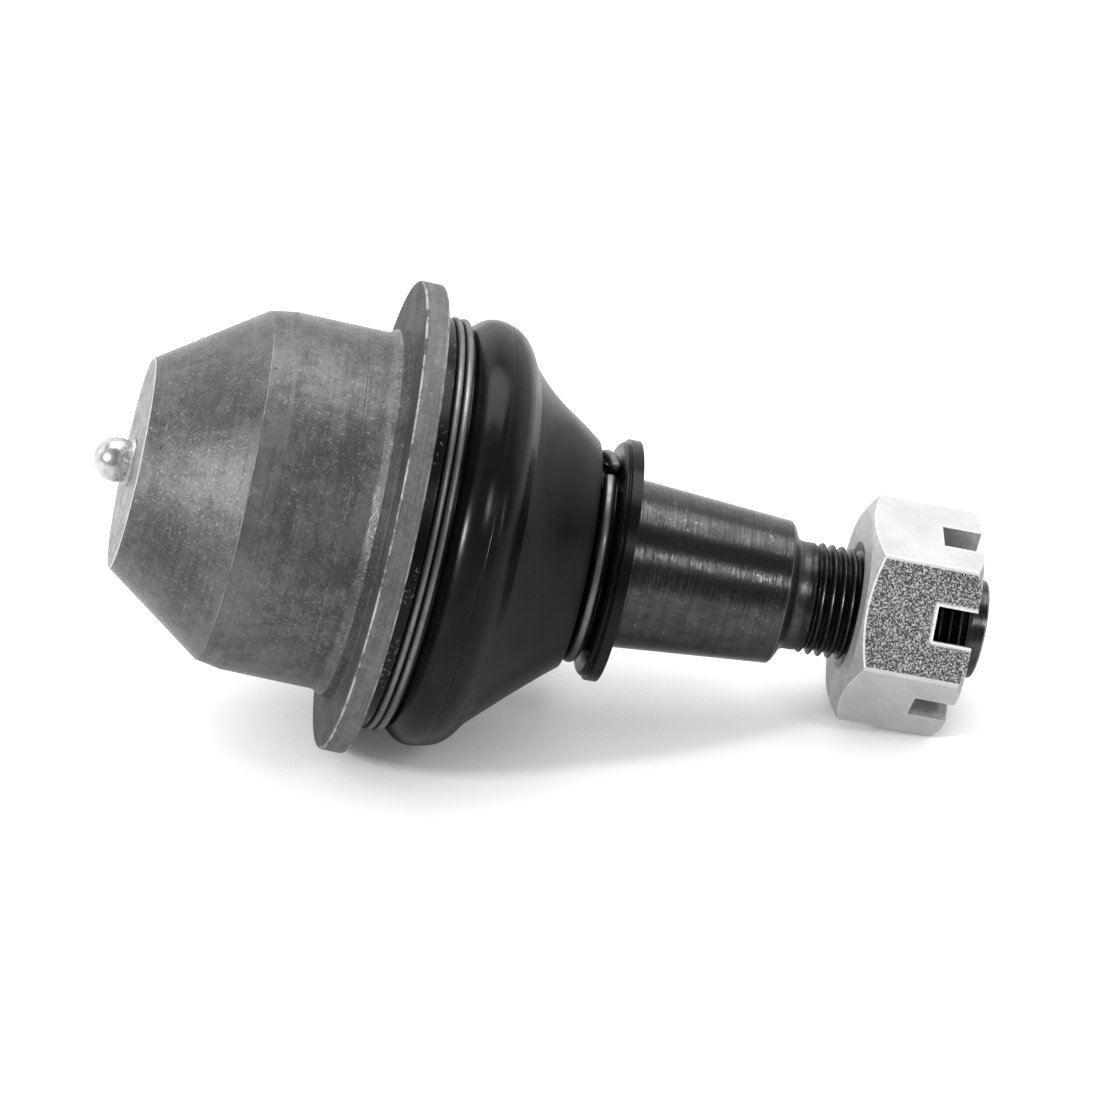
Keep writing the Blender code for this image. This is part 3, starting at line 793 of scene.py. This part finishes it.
def stud_thread_radius(z, depth):
    """The stud's radius: the thread runs out into the relief, and ends in a chamfer."""
    start = smooth(z, THREAD_START, THREAD_START + RUNOUT_TURNS * THREAD_PITCH)
    crest = RELIEF_R + (THREAD_R - RELIEF_R) * start
    r = crest - THREAD_DEPTH * depth * start
    chamfer = TIP_R + max(THREAD_END - z, 0) * TIP_SLOPE
    return min(r, chamfer)


def make_stud():
    """Shank, neck and ball are turned, and the thread and the tip are joined on.

    Zones: 0 shank, 1 thread, 2 ball and neck, 3 relief."""
    shank = [
        (RELIEF_R, THREAD_START, 0, 3),
        (RELIEF_R, 59.15, 1.3, 3),
        (9.8, 58.1, 0.3, 0),
        (10.2, 57.7, 0.2, 0),
        (12.2, 33.1, 0.3, 0),
        (11.6, 32.6, 0.2, 2),
        (11.4, 28.2, 0.6, 2),
        (9.8, 24.7, 1.5, 2),
        (9.0, 22.0, 3, 2),
        (9.0, 14.9, 0, 2),
    ]
    ball = [(BALL_R * cos(a), BALL_R * sin(a)) for a in np.radians(np.linspace(58, -84, 40))]
    points = outline(shank, False) + [(r, z, 2, 0) for r, z in ball] + [(0, ball[-1][1], 2, 0)]
    mesh = lathe_mesh("stud", points, FINE, closed=False)
    form = bmesh.new()
    form.from_mesh(mesh)
    wear = form.verts.layers.float["wear"]
    add_thread(form, thread_rows(THREAD_START, THREAD_END, stud_thread_radius, FINE), wear, 1)
    tip = [(0, STUD_END, 0, 0), (TIP_R, STUD_END, 0.35, 0), (TIP_R, THREAD_END, 0, 0)]
    form.from_mesh(lathe_mesh("stud_tip", outline(tip, False), FINE, closed=False))
    weld(form, THREAD_WELD)
    form.to_mesh(mesh)
    form.free()
    shade(mesh, 38)
    item = add_object("stud", mesh, STUD)
    materials = [
        burnished_steel("stud_burnished_steel", 0.048, 0.082, 0.2, 0.0001),
        black_thread("stud_black_thread"),
        burnished_steel("ball_polished_steel", 0.3, 0.42, 0.16, 0.00001),
        burnished_steel("relief_steel", 0.05, 0.09, 0.34, 0.00003),
    ]
    return finish_piece(item, "stud", ["ball_stud"], materials)


def boolean(item, other, operation):
    """Cuts the item with the other one, or keeps what they share, and removes the other one."""
    modifier = item.modifiers.new(operation, "BOOLEAN")
    modifier.operation = operation
    modifier.solver = "EXACT"
    modifier.object = other
    apply_modifiers(item)
    bpy.data.objects.remove(other)


def box(name, size, centre, angle):
    """A box turned by the angle about Z."""
    form = bmesh.new()
    bmesh.ops.create_cube(form, size=1)
    bmesh.ops.scale(form, vec=Vector(size) * MM, verts=form.verts)
    bmesh.ops.translate(form, vec=Vector(centre) * MM, verts=form.verts)
    bmesh.ops.rotate(form, cent=(0, 0, 0), matrix=Matrix.Rotation(angle, 3, "Z"), verts=form.verts)
    return add_object(name, as_mesh(name, form), Matrix.Identity(4))


def nut_bore_radius(z, depth):
    """The cutter for the nut's thread: it clears the stud's crests at any height, and has chamfered ends."""
    from_end = min(z - (NUT_START - BORE_OVERRUN), NUT_END + BORE_OVERRUN - z)
    mouth = MOUTH_R - from_end * MOUTH_SLOPE
    return max(BORE_R - BORE_THREAD * depth, mouth)


def thread_core(name):
    """A closed threaded rod, used to cut the nut's bore."""
    start, end = NUT_START - BORE_OVERRUN, NUT_END + BORE_OVERRUN
    form = bmesh.new()
    wear = form.verts.layers.float.new("wear")
    add_thread(form, thread_rows(start, end, nut_bore_radius, MEDIUM, 8), wear, 0)
    bmesh.ops.remove_doubles(form, verts=form.verts, dist=THREAD_WELD)
    bmesh.ops.dissolve_degenerate(form, dist=WELD, edges=form.edges)
    bmesh.ops.holes_fill(form, edges=[e for e in form.edges if e.is_boundary], sides=0)
    bmesh.ops.recalc_face_normals(form, faces=form.faces)
    return add_object(name, as_mesh(name, form), Matrix.Identity(4))


def flat_normal(index):
    """Which way one of the nut's flats faces, counted in steps of 60 degrees."""
    angle = index * pi / 3
    return Vector((cos(angle), sin(angle), 0))


def mark_nut_faces(mesh):
    """Marks the coarse grain of two flats, which also gates their painted shade and painted edge highlight, and
    the slots, ends and bore as cut faces.
    """
    grain = mesh.attributes.new("grain", "FLOAT", "FACE")
    cut = mesh.attributes.new("cut", "FLOAT", "FACE")
    for face, grain_share, cut_share in zip(mesh.polygons, grain.data, cut.data):
        r = hypot(face.center.x, face.center.y) / MM
        flat = max(abs(face.normal.dot(flat_normal(i))) for i in range(3))
        on_flat = flat > FACING and r > NUT_FLAT - 0.4
        coarse = abs(face.normal.dot(flat_normal(1))) > FACING
        grain_share.value = (1.0 if coarse else 0.1) if on_flat else 0.05
        z = face.center.z / MM
        tilt = abs(face.normal.z)
        slot_wall = z > SLOT_FLOOR - 0.1 and not on_flat and tilt < 0.3
        slot_floor = abs(z - SLOT_FLOOR) < 0.3 and face.normal.z > 0.9
        turned_end = 0.9 if 0.3 < tilt < 0.96 else 0.5 * (tilt > 0.9)
        cut_share.value = 1.0 if r < 9 or slot_wall or slot_floor else turned_end


def make_nut():
    """A hexagon bar cut to its turned envelope, then slotted three times across and threaded."""
    corner = NUT_FLAT / cos(pi / 6)
    form = bmesh.new()
    height = NUT_END - NUT_START
    bmesh.ops.create_cone(
        form, cap_ends=True, segments=6, radius1=corner * MM, radius2=corner * MM, depth=height * MM
    )
    long_edges = [e for e in form.edges if abs(e.verts[0].co.z - e.verts[1].co.z) > height / 2 * MM]
    bmesh.ops.bevel(
        form, geom=long_edges, offset=EDGE_BREAK * MM, segments=2, profile=0.5, affect="EDGES"
    )
    bmesh.ops.translate(form, vec=(0, 0, (NUT_START + height / 2) * MM), verts=form.verts)
    item = add_object("nut", as_mesh("nut", form), Matrix.Identity(4))
    # The envelope reaches past the hexagon's corners, and each slot past its sides.
    past = corner + 0.5
    slot_length = 60
    envelope = [
        (0, NUT_END + 0.2, 0, 0),
        (CROWN_R, NUT_END + 0.2, 0, 0),
        (CROWN_R, NUT_END, 0, 0),
        (past, NUT_END - (past - CROWN_R) * CROWN_SLOPE, 0, 0),
        (past, NUT_START + (past - SEAT_R) * SEAT_SLOPE, 0, 0),
        (SEAT_R, NUT_START, 0, 0),
        (0, NUT_START - 0.001, 0, 0),
    ]
    mesh = lathe_mesh("nut_envelope", outline(envelope, False), FINE, closed=False)
    boolean(item, add_object("nut_envelope", mesh, Matrix.Identity(4)), "INTERSECT")
    for i in range(3):
        slot = box("slot", (slot_length, SLOT_WIDTH, 2 * SLOT_DEPTH), (0, 0, NUT_END), i * pi / 3)
        boolean(item, slot, "DIFFERENCE")
    boolean(item, thread_core("nut_thread_core"), "DIFFERENCE")
    item.matrix_world = STUD
    mark_nut_faces(item.data)
    shade(item.data, 30)
    # Smooth shading would smear light across the flats from the chamfers beside them.
    for face in item.data.polygons:
        square = max(abs(face.normal.dot(flat_normal(i / 2))) for i in range(6))
        outside_bore = hypot(face.center.x, face.center.y) > (BORE_R + 0.1) * MM
        if max(square, abs(face.normal.z)) > 0.9995 and outside_bore:
            face.use_smooth = False
    item.name = "castle_nut_body"
    return finish_piece(item, "nut", ["castle_nut"], [zinc("nut_zinc")])


def dress_hidden_nodes():
    """The CAD nodes that keep their shape get the finish of what they are."""
    spring = ring_steel("spring_steel_strip", 0.16, 0.28, 0.33)
    closer = oiled_steel("closer_oiled_steel", 0.08, 0.16, 0.4)
    bearing = sintered("sintered_metal")
    bright = ring_steel("check_ball_steel", 0.5, 0.7, 0.14)
    finishes = {
        "disc_spring_outer": spring,
        "disc_spring_inner": spring,
        "thrust_washer": spring,
        "snap_ring": spring,
        "grease_check_spring": spring,
        "closing_ring": closer,
        "bearing_cup": bearing,
        "bearing_ring": bearing,
        "grease_check_ball": bright,
    }
    for name, material in finishes.items():
        node = frame["nodes"][name]
        for index in range(len(node.material_slots)):
            node.material_slots[index].material = material


# ---------------------------------------------------------------- studio


def make_floor():
    """A white table that glows though it is no lamp, less so close to the object as a painted shadow, and more
    to the camera than to the object as a painted brightness.
    """
    form = bmesh.new()
    bmesh.ops.create_grid(form, x_segments=1, y_segments=1, size=3)
    mesh = as_mesh("floor", form)
    floor = add_object("floor", mesh, Matrix.Identity(4))
    s = Surface("glowing_table_with_painted_shadow", 0.0, 0.9)
    s.shader.inputs["Specular IOR Level"].default_value = 0.1
    s.shader.inputs["Emission Color"].default_value = (1, 1, 1, 1)
    near = s.node("ShaderNodeAmbientOcclusion", Distance=0.035)
    near.samples = 8
    seen = s.node("ShaderNodeLightPath").outputs["Is Camera Ray"]
    painted_shadow_openness = near.outputs["AO"]
    # Painted shadow: the glow fades where the occlusion is low, close to the object; the camera alone also sees
    # a painted brightness.
    table = s.remap(painted_shadow_openness, 0.1, 1.0, 0.0, 0.22)
    bright = s.remap(painted_shadow_openness, 0.1, 1.0, 0.0, 0.27)
    glow = s.math("ADD", bright, s.remap(painted_shadow_openness, 0.05, 0.5, 0.07, 0.3))
    s.feed(s.shader.inputs["Emission Strength"], s.math("MULTIPLY_ADD", seen, glow, table))
    tone = s.noise(9, 2, 0.5)
    mesh.materials.append(s.finish(s.mix(tone, 0.55, 0.57)))


def area_light(name, place, target, size, power):
    data = bpy.data.lights.new(name, "AREA")
    data.shape = "RECTANGLE"
    data.size, data.size_y = size
    data.energy = power
    item = bpy.data.objects.new(name, data)
    bpy.context.scene.collection.objects.link(item)
    item.location = place
    item.rotation_euler = (Vector(target) - Vector(place)).to_track_quat("-Z", "Y").to_euler()


def sky(s, place):
    """A dim studio with a white sweep low down behind the object and a paler wall at its left."""
    parts = s.node("ShaderNodeSeparateXYZ", Vector=place).outputs
    low = s.remap(parts["Z"], 0.75, 0.5)
    behind = s.remap(parts["Y"], -0.15, 0.35)
    left = s.remap(parts["X"], 0.1, -0.7)
    sweep = s.math("MULTIPLY", low, behind)
    glow = s.math("MULTIPLY_ADD", sweep, 0.95, 0.205)
    return s.math("MULTIPLY_ADD", left, 0.3, glow)


class Sky(Surface):
    """The same short calls on a world's nodes."""

    def __init__(self, world):
        self.tree = world.node_tree


def make_world():
    """Sets the studio round the object, and shows colours as they are, with no film curve."""
    world = bpy.data.worlds.new("studio")
    bpy.context.scene.world = world
    world.use_nodes = True
    s = Sky(world)
    place = s.node("ShaderNodeTexCoord").outputs["Generated"]
    background = s.tree.nodes["Background"]
    background.inputs["Color"].default_value = (1, 1, 1, 1)
    s.feed(background.inputs["Strength"], sky(s, place))
    bpy.context.scene.view_settings.view_transform = "Standard"


def make_lights():
    """A broad softbox above and behind, and three small ones that draw the bright bands along the metal."""
    middle = BALL_CENTRE + Vector((0.02, 0, 0))
    area_light("top_softbox", (0.03, 0.24, 0.61), middle, (0.7, 0.4), 3.8)
    area_light("left_softbox", (-0.62, -0.36, 0.42), middle, (0.05, 0.11), 5.4)
    area_light("front_softbox", (0.41, -0.58, 0.6), middle, (0.13, 0.17), 1.6)
    area_light("right_strip", (0.72, -0.36, 0.26), middle, (0.06, 0.22), 0.4)


def make_camera():
    """A long lens from the front and above, rolled a little, aimed to the right of the ball and below it."""
    elevation, roll, distance = radians(32.0), radians(-0.6), 1.0208
    aim_right, aim_down = 24.18, 4.75
    data = bpy.data.cameras.new("camera")
    data.sensor_width = 36
    data.lens = 239.0
    camera = bpy.data.objects.new("camera", data)
    bpy.context.scene.collection.objects.link(camera)
    back = Vector((0, -cos(elevation), sin(elevation)))
    right = Vector((1, 0, 0))
    up = back.cross(right)
    rolled_right = right * cos(roll) + up * sin(roll)
    rolled_up = up * cos(roll) - right * sin(roll)
    aim = BALL_CENTRE + (rolled_right * aim_right - rolled_up * aim_down) * MM
    matrix = Matrix((rolled_right, rolled_up, back)).transposed().to_4x4()
    matrix.translation = aim + back * distance
    camera.matrix_world = matrix
    bpy.context.scene.camera = camera


make_housing()
make_grease_fitting()
make_clamp_ring()
make_neck_ring()
make_boot()
make_stud()
make_nut()
dress_hidden_nodes()
make_floor()
make_world()
make_lights()
make_camera()
